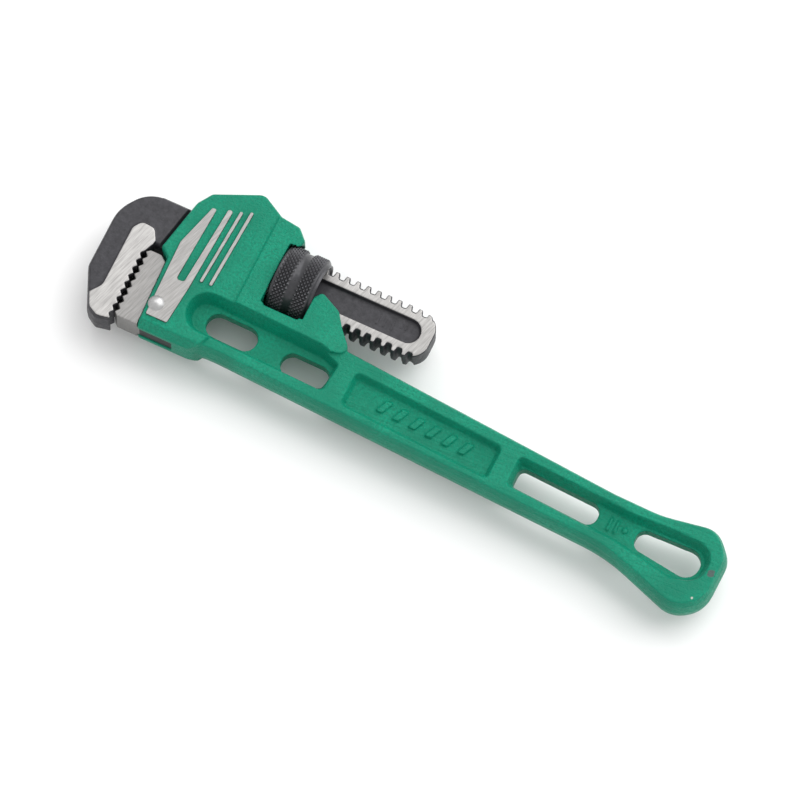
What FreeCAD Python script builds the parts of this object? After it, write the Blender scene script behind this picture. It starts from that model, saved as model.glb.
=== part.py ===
"""Pipe wrench, 250 mm class: a cast handle with its housing, a forged hook jaw on a
threaded flat shank, a knurled adjusting nut, a pinned heel jaw and the springs inside.

Millimetres. The wrench lies flat: +X runs along the shank from the jaws to the handle's
end, +Y points away from the handle's side towards the shank, +Z is up. The design
frame has its origin where the heel jaw's pin crosses the mid-plane; at the end every
sub-part is placed so that the origin is under the middle of the whole wrench.
"""
import FreeCAD, Part
import Sketcher
import math
import os

V = FreeCAD.Vector
X_AXIS, Y_AXIS, Z_AXIS = V(1, 0, 0), V(0, 1, 0), V(0, 0, 1)

doc = FreeCAD.newDocument("PipeWrench")

# ---------------------------------------------------------------- driving dimensions
DIMENSIONS = [
    # overall
    ("handle_reach", 218.8, "pin to the handle's far end"),
    ("shank_offset", 30.2, "pin to the shank's axis, across the wrench"),
    ("rail_thick", 12.5, "handle rails, over both faces"),
    ("web_thick", 4.4, "web between the rails"),
    ("panel_thick", 16.6, "housing over both decorated panels"),
    ("frame_thick", 18.2, "housing over both faces round the nut"),
    ("relief_rise", 0.7, "raised bars on the panels"),
    ("wall_draft", 0.6, "how far a cast flank leans in to its edge band"),
    ("edge_band", 1.1, "width of the sloping band along a cast edge"),
    ("edge_drop", 2.4, "height of the same band"),
    # hook jaw
    ("head_thick", 12.0, "hook jaw's head"),
    ("hook_back", 28.6, "pin to the hook's back"),
    ("closing_line", 12.5, "pin to the line where the jaws meet"),
    ("shank_thick", 8.4, "flat shank"),
    ("shank_tail", 82.4, "pin to the centre of the shank's round end"),
    ("thread_radius", 10.0, "thread's crest"),
    ("thread_depth", 1.85, "crest to root"),
    ("thread_pitch", 4.0, "one turn of the nut"),
    ("thread_crest", 1.35, "width of a crest"),
    ("thread_root", 1.75, "width of a root"),
    ("thread_start", 29.0, "pin to the first groove on the far side"),
    ("shank_recess", 1.7, "depth of the panel in the shank"),
    # nut
    ("nut_radius", 12.8, "over the knurl"),
    ("nut_front", 32.9, "pin to the nut's front face"),
    ("nut_length", 15.4, "over the collar"),
    ("nut_fit", 0.15, "clearance of the nut's thread, each side"),
    # jaws
    ("tooth_pitch", 3.1, "along both jaws"),
    ("tooth_depth", 1.3, "tip to valley"),
    ("jaw_gap", 0.15, "between tips with the jaws shut"),
    ("heel_thick", 11.0, "heel jaw"),
    ("heel_below", 11.9, "shank's axis to the heel jaw's top"),
    ("tang_thick", 6.0, "heel jaw's tang"),
    ("tang_length", 10.0, "pin to the tang's round end"),
    ("pin_radius", 2.0, "heel jaw's pin"),
    ("dome_radius", 2.9, "pin's heads"),
    ("dome_height", 1.4, "pin's heads"),
    ("seat_fit", 0.1, "clearance of pieces that are fixed together"),
    # springs
    ("leaf_thick", 0.8, "flat spring"),
    ("leaf_width", 7.0, "flat spring"),
    ("leaf_length", 22.0, "flat spring"),
    ("coil_place", 13.0, "pin to the coil's axis"),
    ("coil_wire", 1.0, "coil spring's wire"),
    ("coil_radius", 2.9, "to the middle of the wire"),
    ("coil_turns", 4.5, "working turns"),
    ("coil_height", 7.0, "fitted height, wire middle to wire middle"),
    ("rivet_radius", 1.2, "spring rivet"),
    # openings
    ("channel_side", 0.5, "shank to the housing's cheeks, each side"),
    ("channel_floor", 0.35, "shank to the channel's floor"),
    ("rock_room", 2.2, "shank to the roof at the mouth"),
    ("window_front", 0.75, "nut to the window's front wall, for the rock"),
    ("window_back", 0.15, "nut to the lugs"),
    ("window_floor", 1.1, "nut to the window's floor"),
    ("lip_room", 0.7, "nut to the lip over it, for the rock"),
]

sheet = doc.addObject("Spreadsheet::Sheet", "Sizes")
for row, (alias, value, note) in enumerate(DIMENSIONS, start=1):
    sheet.set("A%d" % row, alias)
    sheet.set("B%d" % row, repr(value))
    sheet.set("C%d" % row, note)
    sheet.setAlias("B%d" % row, alias)
doc.recompute()


def size(alias):
    """The value of one driving dimension."""
    return float(sheet.get(alias))


def bind(feature, **expressions):
    """Bind properties of a document object to the sheet: Radius='pin_radius'."""
    for prop, text in expressions.items():
        feature.setExpression(prop.replace("__", "."), in_sheet(text))


def in_sheet(text):
    """An expression in which every alias names its cell of the sheet."""
    words = []
    for token in text.replace("(", " ( ").replace(")", " ) ").split():
        words.append("Sizes." + token if token in ALIASES else token)
    return " ".join(words)


ALIASES = {alias for alias, _, _ in DIMENSIONS}


# ---------------------------------------------------------------- outlines
def rounded_wire(corners, z):
    """A closed wire at height z through corners (x, y, radius), tangent arcs at each."""
    count = len(corners)
    starts, ends, middles = [], [], []
    for i, (x, y, radius) in enumerate(corners):
        here = V(x, y, z)
        before = V(*corners[i - 1][:2], z) - here
        after = V(*corners[(i + 1) % count][:2], z) - here
        room = 0.49 * min(before.Length, after.Length)
        before.normalize()
        after.normalize()
        half = before.getAngle(after) / 2
        if radius < 1e-6 or half > math.pi / 2 - 1e-3:
            starts.append(here)
            ends.append(here)
            middles.append(None)
            continue
        reach = min(radius / math.tan(half), room)
        radius = reach * math.tan(half)
        inward = (before + after).normalize()
        centre = here + inward * (radius / math.sin(half))
        starts.append(here + before * reach)
        ends.append(here + after * reach)
        middles.append(centre - inward * radius)
    edges = []
    for i in range(count):
        if middles[i] is not None:
            edges.append(Part.Arc(starts[i], middles[i], ends[i]).toShape())
        if (starts[(i + 1) % count] - ends[i]).Length > 1e-6:
            edges.append(Part.makeLine(ends[i], starts[(i + 1) % count]))
    return Part.Wire(edges)


def inset(corners, distance):
    """The same corners with every side moved inwards; round corners keep their centre."""
    count = len(corners)
    area = sum(corners[i - 1][0] * corners[i][1] - corners[i][0] * corners[i - 1][1]
               for i in range(count))
    turn = 1 if area > 0 else -1
    moved = []
    for i, (x, y, radius) in enumerate(corners):
        ax, ay = x - corners[i - 1][0], y - corners[i - 1][1]
        bx, by = corners[(i + 1) % count][0] - x, corners[(i + 1) % count][1] - y
        la, lb = math.hypot(ax, ay), math.hypot(bx, by)
        ax, ay, bx, by = ax / la, ay / la, bx / lb, by / lb
        cross, dot = ax * by - ay * bx, ax * bx + ay * by
        scale = distance * turn / (1 + dot)
        convex = cross * turn > 0
        new_radius = radius - distance if convex else radius + distance
        moved.append((x + (-ay - by) * scale, y + (ax + bx) * scale,
                      max(new_radius, 0.05) if radius > 0 else 0))
    return moved


def prism(corners, low, high):
    """A straight-sided solid over an outline."""
    face = Part.Face(rounded_wire(corners, low))
    return face.extrude(V(0, 0, high - low))


def taper(corners, low, high, lean):
    """A solid whose outline is the given one at z = low and inset by lean at z = high."""
    wires = [rounded_wire(corners, low), rounded_wire(inset(corners, lean), high)]
    return Part.makeLoft(wires, True, True)


def slab(corners, thick, lean, band, drop):
    """Both halves of a casting about its parting plane: flanks with draft, then a band."""
    half = thick / 2
    shoulder = half - drop
    flank = taper(corners, 0, shoulder, lean)
    edge = taper(inset(corners, lean), shoulder, half, band)
    upper = flank.fuse(edge)
    return upper.fuse(mirrored(upper))


def mirrored(shape):
    """The same shape on the other face of the wrench."""
    return shape.mirror(V(0, 0, 0), Z_AXIS)


def box(x0, x1, y0, y1, half):
    """A box about the mid-plane."""
    return Part.makeBox(x1 - x0, y1 - y0, 2 * half, V(x0, y0, -half))


def thread_arc(profile, pitch, radius, x_middle, angle_middle, span):
    """A profile [(x, r), ...] swept along a short arc of a right-hand helix about X.

    Angles are in degrees from +Y towards +Z."""
    rise = pitch * span / 360
    helix = Part.makeHelix(pitch, rise, radius)
    section = Part.makePolygon([V(r, 0, x) for x, r in profile + profile[:1]])
    solid = Part.Wire(helix.Edges).makePipeShell([section], True, True)
    along_x = FreeCAD.Rotation(Y_AXIS, Z_AXIS, X_AXIS, "ZXY")
    start = FreeCAD.Rotation(X_AXIS, angle_middle - span / 2)
    solid.Placement = FreeCAD.Placement(V(x_middle - rise / 2, 0, 0), start * along_x)
    return solid


def place_on_shank(shape):
    """Move a shape that was made about the X axis onto the shank's axis."""
    shape.translate(V(0, size("shank_offset"), 0))
    return shape


def add_shape(label, shape):
    """A document object that holds a shape made with Part's own functions."""
    feature = doc.addObject("Part::Feature", label)
    feature.Label = label
    feature.Shape = shape
    return feature


# ---------------------------------------------------------------- shared places
AXIS_Y = size("shank_offset")
PITCH = size("thread_pitch")
CREST_R = size("thread_radius")
ROOT_R = CREST_R - size("thread_depth")
NUT_X0 = size("nut_front")
NUT_X1 = NUT_X0 + size("nut_length")
WINDOW_X0 = NUT_X0 - size("window_front")
WINDOW_X1 = NUT_X1 + size("window_back")
WINDOW_Y = AXIS_Y - size("nut_radius") - size("window_floor")
CHANNEL_HALF = size("shank_thick") / 2 + size("channel_side")
CHANNEL_Y = AXIS_Y - CREST_R - size("channel_floor")
ROOF_Y = AXIS_Y + CREST_R + size("rock_room")
LEAF_Y = AXIS_Y + CREST_R + size("seat_fit")
COIL_Y0 = LEAF_Y + size("leaf_thick") + size("coil_wire") / 2
COIL_Y1 = COIL_Y0 + size("coil_height")
FLANK_SLOPE = (PITCH - size("thread_crest") - size("thread_root")) / 2 / size("thread_depth")
HEEL_LOW = -8.9
HEEL_HIGH = AXIS_Y - size("heel_below")
FIRST_VALLEY = -9.2       # the lowest valley of both jaws
MOUTH_Y = AXIS_Y - CREST_R + 0.1   # lower corner of the housing's cheeks
MOUTH_LEAN = 0.2          # the housing's front edge leans back this much per mm of height
NECK_GAP = 0.5            # hook jaw's head to the housing's front edge
CUT_OVER = 30.0           # how far a cutter runs past the faces


def front_edge(y):
    """x of the housing's front edge beside the shank."""
    return -8.1 + MOUTH_LEAN * (y - MOUTH_Y)


def seat_front(y):
    """x of the housing's front face beside the heel jaw."""
    return -3.2 - 0.048 * (y + 8)


def under_bevels():
    """Wedges that slope the housing's underside down to its flanks, on both faces."""
    half = size("panel_thick") / 2
    corners = [V(-20, -20, half + 1), V(-20, -6.6, half + 1), V(-20, -7.0, half),
               V(-20, -9.3, half - 3.3), V(-20, -20, half - 3.6)]
    wedge = Part.Face(Part.makePolygon(corners + corners[:1])).extrude(V(60, 0, 0))
    return [wedge, mirrored(wedge)]


# ---------------------------------------------------------------- handle
HANDLE_SLOPE = -0.059     # handle's centreline to the shank's axis


def centreline(x):
    """y of the handle's centreline."""
    return 6.6 + HANDLE_SLOPE * x


def half_width(x):
    """Half of the handle's width at the parting plane, before the knob."""
    return 13.2 - 0.0155 * x


def handle_outline():
    """The handle's outline at the parting plane, housing's root to knob."""
    end = size("handle_reach")
    neck = end - 40
    return [
        (4, centreline(4) + half_width(4) - 4, 0),
        (4, -9.6, 1.0),
        (24, -7.4, 40),
        (neck, centreline(neck) - half_width(neck), 60),
        (end - 10.5, -24.6, 11),
        (end - 0.2, -17.5, 12),
        (end, 1.5, 9),
        (end - 7.5, 10.3, 9),
        (end - 28, 6.6, 40),
        (neck - 6, centreline(neck - 6) + half_width(neck - 6), 60),
        (66, centreline(66) + half_width(66), 6),
        (50, 17.2, 4),
        (28, 17.2, 4),
    ]


def housing_outline():
    """The housing's outline at the parting plane."""
    return [
        (seat_front(-9.6), -9.6, 1.0),
        (19, -9.6, 6),
        (26, 6, 10),
        (26.5, AXIS_Y + 17.8, 3),
        (16.2, AXIS_Y + 23.5, 4),
        (-0.6, AXIS_Y + 15.8, 2.5),
        (front_edge(AXIS_Y + 10.4), AXIS_Y + 10.4, 4),
        (front_edge(MOUTH_Y), MOUTH_Y, 0.6),
        (seat_front(MOUTH_Y - 2.9), MOUTH_Y - 2.9, 0.6),
    ]


def frame_outline():
    """The thicker frame round the nut, with the lug behind it."""
    return [
        (24.0, 11.0, 1.5),
        (60.0, 9.4, 2),
        (69.5, 12.2, 3),
        (62.5, 19.5, 6),
        (58.6, 25.0, 3),
        (50.3, 29.0, 1.8),
        (WINDOW_X1 - 1.8, 24.0, 1.0),
        (WINDOW_X1 - 1.8, WINDOW_Y - 0.4, 0.5),
        (WINDOW_X0 + 1.5, WINDOW_Y - 0.4, 0.5),
        (WINDOW_X0 + 1.7, AXIS_Y + 9.5, 0.6),
        (35.8, AXIS_Y + 9.5, 0.8),
        (36.8, AXIS_Y + 13.2, 0.8),
        (32.8, AXIS_Y + 17.2, 1.5),
        (24.0, AXIS_Y + 18.3, 1.0),
    ]


def lug_ramps():
    """Cutters that slope the lug's foot down to the rails, on both faces."""
    high, low = size("frame_thick") / 2, size("rail_thick") / 2
    x0, x1, y0, y1 = 58.5, 71.0, -12, 30
    corners = [V(x0, y0, high), V(x1, y0, low), V(x1, y0, high + 2), V(x0, y0, high + 2)]
    wedge = Part.Face(Part.makePolygon(corners + corners[:1])).extrude(V(0, y1 - y0, 0))
    return [wedge, mirrored(wedge)]


def pocket_outline_front():
    """The pocket with the first two slots, at the outer faces."""
    return [
        (9.6, -3.3, 7.6),
        (66.5, -4.9, 3.0),
        (67.8, 8.6, 2.5),
        (60.5, 11.2, 6.0),
        (9.6, 12.9, 7.6),
    ]


def badge_outline():
    """The panel in the middle of the handle."""
    return [(73.0, -5.6, 2.2), (131.0, -8.7, 2.2), (131.0, 4.8, 2.2), (73.0, 8.2, 2.2)]


def pocket_outline_end():
    """The pocket with the third slot and the hanging hole."""
    end = size("handle_reach")
    return [
        (137.6, -7.6, 2.0),
        (180.0, -10.2, 30),
        (end - 16, -14.6, 7.6),
        (end - 5.2, -11.5, 7.6),
        (end - 5.2, 2.4, 7.6),
        (end - 20, 2.6, 8),
        (182.0, 2.0, 60),
        (137.6, 4.5, 2.0),
    ]


def slot(x0, x1, y_low, y_high, radius_left, radius_right):
    """A long through hole: ((x0, low, high), (x1, low, high)) with its corner radii."""
    return [(x0, y_low[0], radius_left), (x1, y_low[1], radius_right),
            (x1, y_high[1], radius_right), (x0, y_high[0], radius_left)]


def slot_outlines():
    """Three slots and the hanging hole, through the web."""
    end = size("handle_reach")
    return [
        slot(17.6, 36.8, (-0.5, -0.9), (8.7, 8.3), 4.4, 4.4),
        slot(47.3, 65.2, (-2.3, -2.7), (6.4, 6.0), 4.1, 4.1),
        slot(139.2, 171.0, (-6.4, -7.8), (2.1, 0.7), 2.5, 3.8),
        slot(186.0, end - 8.3, (-8.2, -11.4), (-0.5, 0.3), 3.4, 5.1),
    ]


def pocket(outline, face_half, floor_half, wall):
    """Cutters for one pocket, both faces: sloping walls down to the floor."""
    shape = taper(outline, face_half, floor_half, wall)
    above = prism(outline, face_half, face_half + CUT_OVER)
    cutter = shape.fuse(above)
    return [cutter, mirrored(cutter)]


def relief_outlines():
    """Raised bars on the housing's panels: a two-pronged bar and two single bars."""
    return [
        [(-1.9, -5.2, 0.8), (6.6, -5.2, 0.8), (7.9, 10.0, 8), (9.4, 42.6, 1.0),
         (7.2, 42.8, 1.0), (5.0, 11.6, 0.8), (2.5, 11.3, 0.8), (2.9, 22.0, 10),
         (3.9, 41.0, 0.8), (1.9, 40.8, 0.8), (-2.7, 24.4, 5), (-2.4, 14.0, 20)],
        [(9.7, 13.6, 0.7), (11.2, 13.6, 0.7), (12.8, 43.8, 0.7), (11.2, 43.8, 0.7)],
        [(13.2, 13.8, 0.7), (14.8, 13.8, 0.7), (16.2, 45.2, 0.7), (14.6, 45.2, 0.7)],
    ]


def badge_relief():
    """A plain raised row of lozenges on the middle panel."""
    bars = []
    for step in range(6):
        x = 87.0 + 6.4 * step
        y = centreline(x) - 0.4
        bars.append([(x - 2.4, y - 2.6, 0.6), (x + 0.6, y - 2.6, 0.6),
                     (x + 3.0, y + 2.6, 0.6), (x + 0.0, y + 2.6, 0.6)])
    return bars


def end_relief():
    """Two upright bars and a dot, raised from the web by the hanging hole."""
    x, y = 175.2, centreline(175.2) - 0.2
    bar = [(0, -2.6, 0.3), (1.2, -2.6, 0.3), (1.2, 2.6, 0.3), (0, 2.6, 0.3)]
    dot = [(0, -1.1, 1.0), (2.2, -1.1, 1.0), (2.2, 1.1, 1.0), (0, 1.1, 1.0)]
    marks = [(bar, 0), (bar, 2.6), (dot, 5.4)]
    return [[(x + start + dx, y + dy, radius) for dx, dy, radius in mark]
            for mark, start in marks]


def handle():
    """The casting: I-section handle, housing, nut frame and lug."""
    rail_half = size("rail_thick") / 2
    web_half = size("web_thick") / 2
    panel_half = size("panel_thick") / 2
    frame_half = size("frame_thick") / 2
    body = slab(handle_outline(), size("rail_thick"), size("wall_draft"), size("edge_band"),
                size("edge_drop"))
    housing = slab(housing_outline(), size("panel_thick"), 0.25, 0.45, 0.9).cut(under_bevels())
    body = body.fuse([housing, slab(frame_outline(), size("frame_thick"), 0.2, 0.5, 0.8)])
    raised = []
    for outline in relief_outlines():
        top = panel_half + size("relief_rise")
        bar = taper(outline, panel_half - 0.5, top, 0.25)
        raised += [bar, mirrored(bar)]
    body = body.fuse(raised)
    cutters = lug_ramps()
    cutters += pocket(pocket_outline_front(), frame_half, web_half, 2.6)
    cutters += pocket(badge_outline(), rail_half, rail_half - 3.0, 1.6)
    cutters += pocket(pocket_outline_end(), rail_half, web_half, 1.9)
    cutters += [prism(outline, -CUT_OVER, CUT_OVER) for outline in slot_outlines()]
    body = body.cut(cutters)
    letters = []
    for outline in badge_relief():
        bar = taper(outline, rail_half - 3.5, rail_half - 2.1, 0.3)
        letters += [bar, mirrored(bar)]
    for outline in end_relief():
        bar = taper(outline, web_half - 0.5, web_half + 0.7, 0.2)
        letters += [bar, mirrored(bar)]
    body = body.fuse(letters)
    return body.cut(handle_openings()).removeSplitter()


def handle_openings():
    """What the moving and fixed pieces need: channel, window, coil seat, tang slot, pin."""
    leaf_x1 = size("coil_place") + size("leaf_length") / 2 + 0.6
    coil_room = size("coil_radius") + size("coil_wire") / 2 + 0.25
    far = 40.0
    leaf_x0 = size("coil_place") - size("leaf_length") / 2 - 0.6
    channel = box(-20, WINDOW_X0 + 1, CHANNEL_Y, ROOF_Y, CHANNEL_HALF)
    spring_room = box(leaf_x0, leaf_x1, AXIS_Y, ROOF_Y + 1.5, CHANNEL_HALF)
    brow = AXIS_Y + 9
    round_room = size("nut_radius") + size("lip_room")
    window = box(WINDOW_X0, WINDOW_X1, WINDOW_Y, brow, CUT_OVER)
    window = window.fuse(Part.makeCylinder(round_room, WINDOW_X1 - WINDOW_X0,
                                           V(WINDOW_X0, AXIS_Y, 0), X_AXIS))
    window = window.fuse(box(WINDOW_X0 + 6, WINDOW_X1, brow - 1, AXIS_Y + far, CUT_OVER))
    lug_gap = box(WINDOW_X1 - 1, 110, WINDOW_Y, AXIS_Y + far, CHANNEL_HALF)
    coil_seat = Part.makeCylinder(coil_room, COIL_Y1 + size("coil_wire") / 2 - AXIS_Y,
                                  V(size("coil_place"), AXIS_Y, 0), Y_AXIS)
    tang_half = size("tang_thick") / 2 + size("seat_fit")
    tang_slot = prism(tang_outline(size("seat_fit"), CUT_OVER), -tang_half, tang_half)
    pin_hole = Part.makeCylinder(size("pin_radius"), 2 * CUT_OVER, V(0, 0, -CUT_OVER), Z_AXIS)
    return [channel, spring_room, window, lug_gap, coil_seat, tang_slot, pin_hole]


# ---------------------------------------------------------------- the two jaws' teeth
def tang_outline(gap, ahead):
    """The slot for the heel jaw's tang: open towards the front and the underside."""
    x1 = size("tang_length") + gap
    low = HEEL_LOW - ahead
    return [(-6.0 - ahead, low, 0), (x1, low, 0), (x1, 5.0 + gap, 1.0),
            (x1 - 3.0, 8.0 + gap, 1.0), (-6.0 - ahead, 12.0 + gap + ahead / 3.25, 0)]


def valleys():
    """y of every valley, from the jaws' lower end upwards."""
    count = int((HEEL_HIGH - FIRST_VALLEY) / size("tooth_pitch")) + 1
    return [FIRST_VALLEY + size("tooth_pitch") * step for step in range(count)]


# ---------------------------------------------------------------- bodies from sketches
def sketch_on(body, name, corners):
    """A closed sketch on the body's XY plane; every corner is bound to the sheet.

    corners are pairs of expressions in the sheet's aliases."""
    plane = [f for f in body.Origin.OriginFeatures if f.Role == "XY_Plane"][0]
    sketch = body.newObject("Sketcher::SketchObject", name)
    sketch.AttachmentSupport = (plane, [""])
    sketch.MapMode = "FlatFace"
    texts = [(in_sheet(x), in_sheet(y)) for x, y in corners]
    points = [V(sheet.evalExpression(x), sheet.evalExpression(y), 0) for x, y in texts]
    count = len(points)
    for i in range(count):
        sketch.addGeometry(Part.LineSegment(points[i], points[(i + 1) % count]))
    for i in range(count):
        sketch.addConstraint(Sketcher.Constraint("Coincident", i, 2, (i + 1) % count, 1))
    for i, (x_text, y_text) in enumerate(texts):
        for kind, value, text in (("DistanceX", points[i].x, x_text),
                                  ("DistanceY", points[i].y, y_text)):
            index = sketch.addConstraint(Sketcher.Constraint(kind, -1, 1, i, 1, value))
            sketch.setExpression("Constraints[%d]" % index, text)
    return sketch


def new_body(label):
    """An empty body with its own label."""
    body = doc.addObject("PartDesign::Body", label)
    body.Label = label
    return body


def pad(body, sketch, thickness):
    """A pad about the mid-plane whose length is bound to the sheet."""
    feature = body.newObject("PartDesign::Pad", sketch.Name + "_pad")
    feature.Profile = sketch
    feature.Midplane = True
    bind(feature, Length=thickness)
    return feature


def heel_jaw():
    """Toothed block in front of the housing, with a tang for the housing's slot."""
    body = new_body("heel_jaw")
    tip = "0 - closing_line + jaw_gap / 2"
    valley = tip + " + tooth_depth"
    corners = [(valley, str(HEEL_LOW))]
    for y in valleys():
        if HEEL_LOW < y < HEEL_HIGH - size("tooth_pitch") / 2:
            corners.append((valley, "%g" % y))
        if y + size("tooth_pitch") / 2 < HEEL_HIGH:
            corners.append((tip, "%g + tooth_pitch / 2" % y))
    top = "shank_offset - heel_below"
    corners += [(valley, top), ("-6.9", top),
                ("%g - seat_fit" % seat_front(HEEL_HIGH - 1.9), top + " - 1.9"),
                ("%g - seat_fit" % seat_front(HEEL_LOW), str(HEEL_LOW))]
    pad(body, sketch_on(body, "heel_block", corners), "heel_thick")
    tang = [("-6.0", str(HEEL_LOW)), ("tang_length", str(HEEL_LOW)), ("tang_length", "5.0"),
            ("tang_length - 3", "8.0"), ("-6.0", "12.0")]
    pad(body, sketch_on(body, "heel_tang", tang), "tang_thick")
    through_hole(body, sketch_circle(body, "heel_hole", "pin_radius"))
    return body


def sketch_circle(body, name, radius, role="XY_Plane", along="0"):
    """A circle on one of the body's planes, its place and radius bound to the sheet."""
    plane = [f for f in body.Origin.OriginFeatures if f.Role == role][0]
    sketch = body.newObject("Sketcher::SketchObject", name)
    sketch.AttachmentSupport = (plane, [""])
    sketch.MapMode = "FlatFace"
    x = sheet.evalExpression(in_sheet(along))
    sketch.addGeometry(Part.Circle(V(x, 0, 0), Z_AXIS, size(radius)))
    sketch.addConstraint(Sketcher.Constraint("PointOnObject", 0, 3, -1))
    for kind, place, text in (("DistanceX", (-1, 1, 0, 3, x), along),
                              ("Radius", (0, size(radius)), radius)):
        index = sketch.addConstraint(Sketcher.Constraint(kind, *place))
        sketch.setExpression("Constraints[%d]" % index, in_sheet(text))
    return sketch


def through_hole(body, sketch):
    """A hole right through the body along the sketch's normal."""
    feature = body.newObject("PartDesign::Pocket", sketch.Name + "_cut")
    feature.Profile = sketch
    feature.Type = "ThroughAll"
    feature.Midplane = True


def heel_jaw_pin():
    """Rivet through housing and tang, with a low dome on each face."""
    shank = doc.addObject("Part::Cylinder", "pin_shank")
    bind(shank, Radius="pin_radius", Height="panel_thick + 2 * relief_rise")
    bind(shank, Placement__Base__z="0 - panel_thick / 2 - relief_rise")
    pieces = [shank]
    sphere = "( dome_radius ^ 2 + dome_height ^ 2 ) / ( 2 * dome_height )"
    seat = "panel_thick / 2 + relief_rise"
    for name, side in (("pin_dome_up", "1"), ("pin_dome_down", "-1")):
        ball = doc.addObject("Part::Sphere", name + "_ball")
        bind(ball, Radius=sphere)
        bind(ball, Placement__Base__z="%s * ( %s + dome_height - %s )" % (side, seat, sphere))
        zone = doc.addObject("Part::Cylinder", name + "_zone")
        bind(zone, Radius="dome_radius + 1", Height="dome_height + 1")
        start = seat if side == "1" else "0 - %s - dome_height - 1" % seat.replace("+", "-")
        bind(zone, Placement__Base__z=start)
        dome = doc.addObject("Part::Common", name)
        dome.Base = ball
        dome.Tool = zone
        pieces.append(dome)
    rivet = doc.addObject("Part::MultiFuse", "heel_jaw_pin")
    rivet.Label = "heel_jaw_pin"
    rivet.Shapes = pieces
    return rivet


# ---------------------------------------------------------------- hook jaw
NECK_LOW = AXIS_Y - 9.3
HOOK_TOP = AXIS_Y + 8.2
HOOK_TIP = -11.6


def hook_outline():
    """The hook's head, from its neck round the back to the lower tip."""
    tips = -size("closing_line") - size("jaw_gap") / 2
    back = -size("hook_back")
    return [
        (front_edge(NECK_LOW) - NECK_GAP, NECK_LOW, 0),
        (front_edge(HOOK_TOP) - NECK_GAP, HOOK_TOP, 0),
        (-21.2, HOOK_TOP, 15),
        (back, HOOK_TOP - 10.6, 15),
        (back, 4.0, 3.5),
        (-22.0, -10.4, 3.5),
        (-17.8, -12.9, 2.5),
        (tips, HOOK_TIP, 0.8),
        (tips, NECK_LOW - 3.7, 0),
        (tips + 1.6, NECK_LOW, 0.5),
    ]


def land_outline():
    """The ground land beside the teeth, a little proud of the forging."""
    tips = -size("closing_line") - size("jaw_gap") / 2
    return [
        (-20.6, NECK_LOW + 2.5, 3.0),
        (-18.4, NECK_LOW + 5.7, 2.6),
        (-13.2, NECK_LOW + 5.3, 2.4),
        (tips + 1.7, NECK_LOW + 1.2, 0.8),
        (tips + 1.5, NECK_LOW - 0.3, 0),
        (tips, NECK_LOW - 3.7, 0),
        (tips, HOOK_TIP + 0.5, 0.8),
        (-17.6, -12.0, 2.5),
        (-21.4, -10.0, 3.0),
        (-23.8, -5.0, 0.8),
        (-20.6, -0.6, 4.0),
    ]


def tooth_notches():
    """Cutters for the hook jaw's valleys."""
    tips = -size("closing_line") - size("jaw_gap") / 2
    half = size("tooth_pitch") / 2
    over = 0.3
    notches = []
    for y in valleys():
        if y > NECK_LOW - 4:
            continue
        lean = over * half / size("tooth_depth")
        triangle = [(tips + over, y - half - lean, 0), (tips + over, y + half + lean, 0),
                    (tips - size("tooth_depth"), y, 0)]
        notches.append(prism(triangle, -CUT_OVER, CUT_OVER))
    return notches


def shank():
    """The flat, threaded shank with its round end and its panels."""
    tail, half = size("shank_tail"), size("shank_thick") / 2
    start = -16.0
    bar = Part.makeCylinder(CREST_R, tail + 20 - start, V(start, 0, 0), X_AXIS)
    bar = bar.common(box(start, tail + 20, -CREST_R, CREST_R, half))
    end_radius = AXIS_Y - CHANNEL_Y - size("channel_floor") - 0.9
    end = prism([(tail - 8, -end_radius, 0), (tail + end_radius, -end_radius, 7),
                 (tail + end_radius, end_radius, 7), (tail - 8, end_radius, 0)],
                -half, half)
    bar = bar.common(box(start, tail, -CREST_R, CREST_R, half).fuse(end))
    neck = box(start - 1, front_edge(AXIS_Y), -CREST_R - 1, NECK_LOW - AXIS_Y, half + 1)
    brow = box(start - 1, front_edge(HOOK_TOP), HOOK_TOP - AXIS_Y, CREST_R + 1, half + 1)
    depth = size("thread_depth")
    over = 0.6
    root = size("thread_root") / 2
    lip = root + FLANK_SLOPE * (depth + over)
    groove = [(-root, ROOT_R), (root, ROOT_R), (lip, CREST_R + over), (-lip, CREST_R + over)]
    cutters = [neck, brow]
    turns = int((tail + end_radius - size("thread_start")) / PITCH * 2) + 2
    for step in range(-1, turns):
        x = size("thread_start") + PITCH / 2 * step
        cutters.append(thread_arc(groove, PITCH, CREST_R, x, 180 * (step % 2), 76))
    panel_half = 4.5
    panel = [(32.0, -panel_half, 2), (tail + panel_half, -panel_half, panel_half - 0.01),
             (tail + panel_half, panel_half, panel_half - 0.01), (32.0, panel_half, 2)]
    recess = taper(panel, half, half - size("shank_recess"), 0.35)
    cutters += [recess, mirrored(recess)]
    return place_on_shank(bar.cut(cutters))


def hook_jaw():
    """Forged hook with ground lands, teeth and the threaded shank."""
    head = slab(hook_outline(), size("head_thick") - 0.8, 0.3, 0.6, 1.0)
    land = taper(land_outline(), 0, size("head_thick") / 2, 0.05)
    head = head.fuse([land, mirrored(land)]).cut(tooth_notches())
    return head.fuse(shank()).removeSplitter()


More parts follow.
